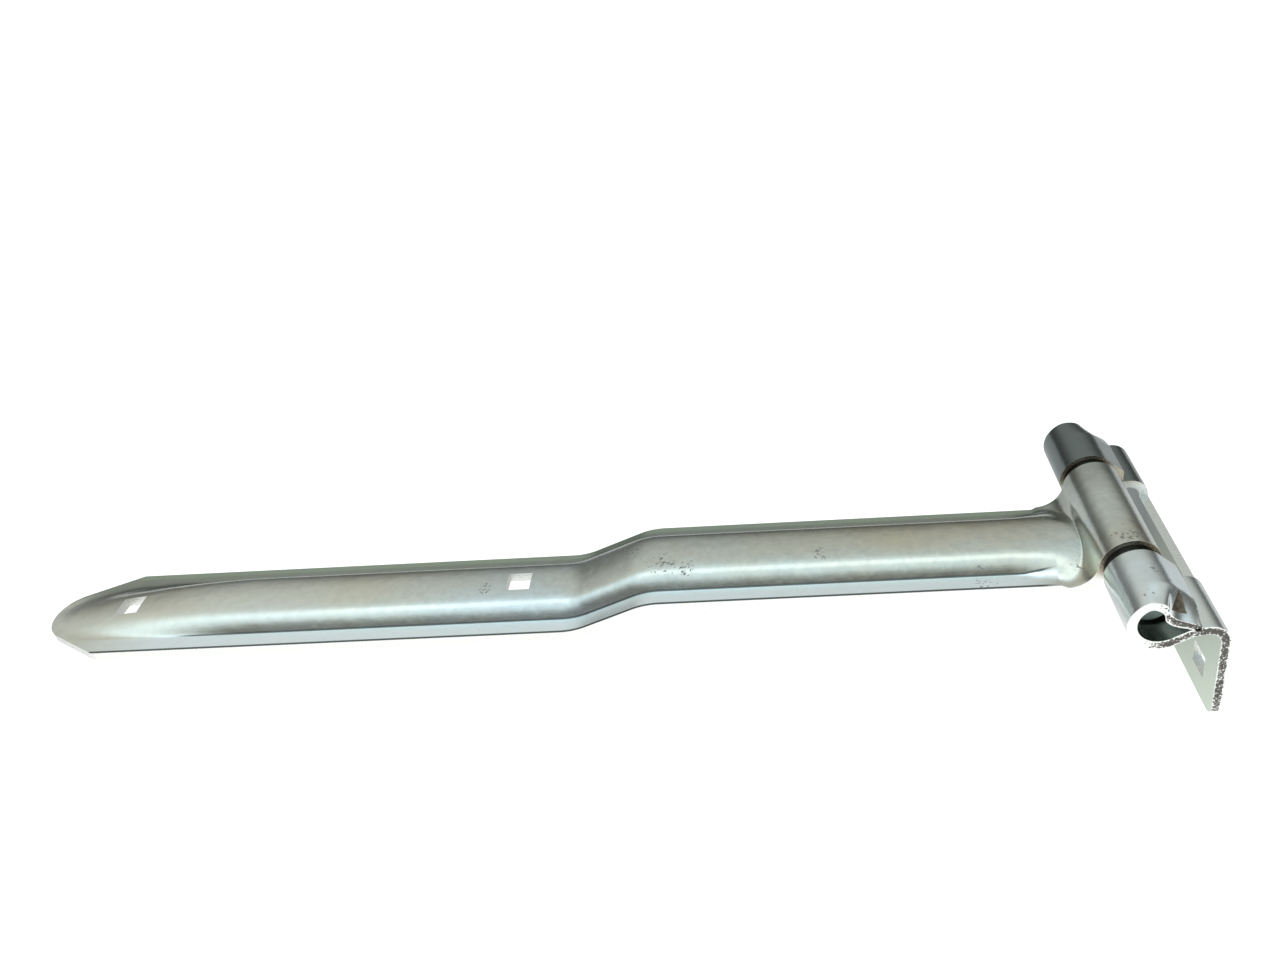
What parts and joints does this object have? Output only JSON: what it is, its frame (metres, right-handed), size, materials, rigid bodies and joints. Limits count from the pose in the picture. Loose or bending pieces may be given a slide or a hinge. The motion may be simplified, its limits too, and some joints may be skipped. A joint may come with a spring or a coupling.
{
  "type": "t hinge",
  "caption": "Heavy T strap hinge: long crowned and stepped strap that swings on a pin in a bolt-on angle bracket, bright zinc plated.",
  "frame": {"origin": "middle of the bolt line on the outer face of the bracket's flange", "axes": "+X across the pin from the strap towards the frame, so the strap points to -X; +Y along the pin; +Z out of the face the strap is bolted to, towards the pin side"},
  "size_m": [0.3944, 0.0956, 0.0509],
  "materials": {
    "strap_zinc": "bright zinc plated",
    "bracket_zinc": "bright zinc plated",
    "pin_steel": "drawn steel bar, zinc plated"
  },
  "bodies": {
    "strap": {"strap_leaf": "strap_zinc"},
    "bracket": {"frame_bracket": "bracket_zinc", "hinge_pin": "pin_steel"}
  },
  "joints": [
    {"name": "swing", "type": "hinge", "parent": "strap", "child": "bracket", "pos_m": [-0.02415, 0, 0.02798], "axis": [0, -1, 0], "range_deg": [-100, 205]}
  ]
}
